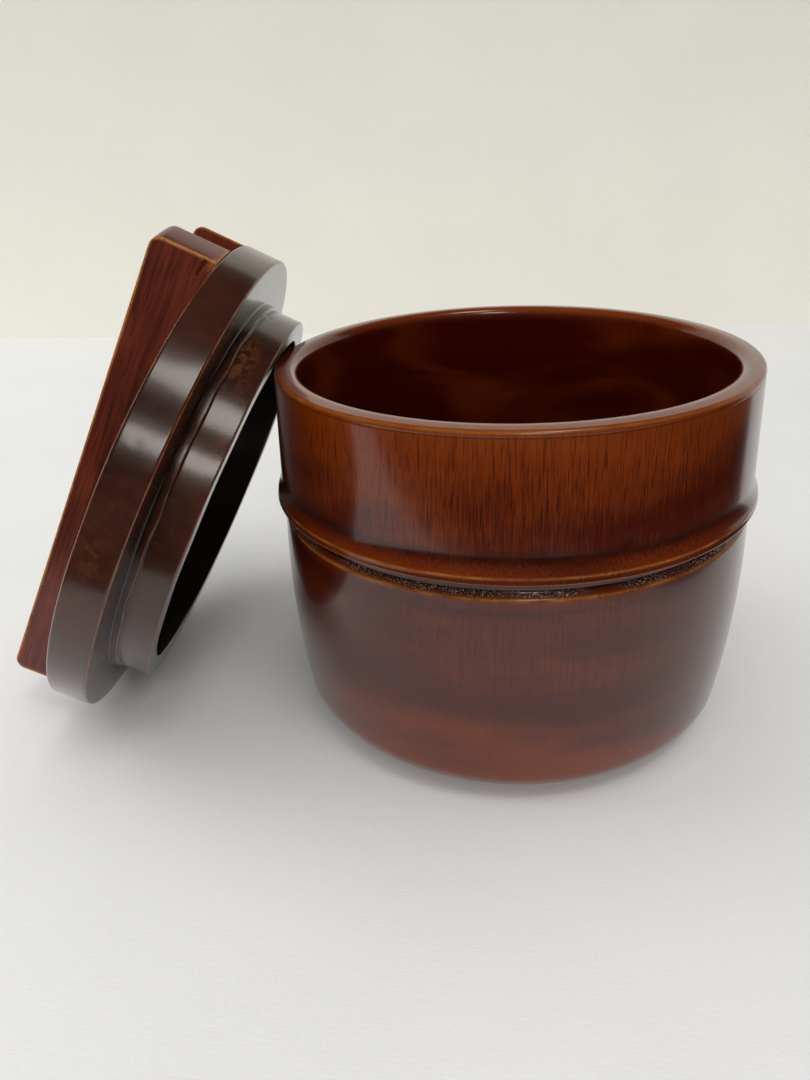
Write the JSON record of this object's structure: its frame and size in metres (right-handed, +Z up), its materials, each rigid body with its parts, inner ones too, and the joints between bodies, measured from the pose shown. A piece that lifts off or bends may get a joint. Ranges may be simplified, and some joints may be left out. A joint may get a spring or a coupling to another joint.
{
  "type": "go stone bowl",
  "caption": "Turned wooden bowl with a ring moulding round its middle and a loose ringed lid with cross battens, leaning on its rim.",
  "frame": {"origin": "centre of the bowl's flat base, on the surface it stands on", "axes": "+Z up along the bowl's axis; the lid leans against the bowl from the -X side"},
  "size_m": [0.2245, 0.1465, 0.1423],
  "materials": {
    "bowl_wood": "orange-brown lacquer, half gloss, worn lighter on the edges",
    "lid_wood": "dark brown lacquer, half gloss, worn orange on the edges",
    "batten_wood": "red-brown lacquer, half gloss, lengthwise grain"
  },
  "bodies": {
    "bowl": {"bowl": "bowl_wood"},
    "lid": {"lid_disc": "lid_wood", "batten_front": "batten_wood", "batten_back": "batten_wood"}
  },
  "joints": [
    {"name": "lid_lift", "type": "slide", "parent": "bowl", "child": "lid", "axis": [0, 0, 1], "range_m": [0, 0.12]}
  ]
}
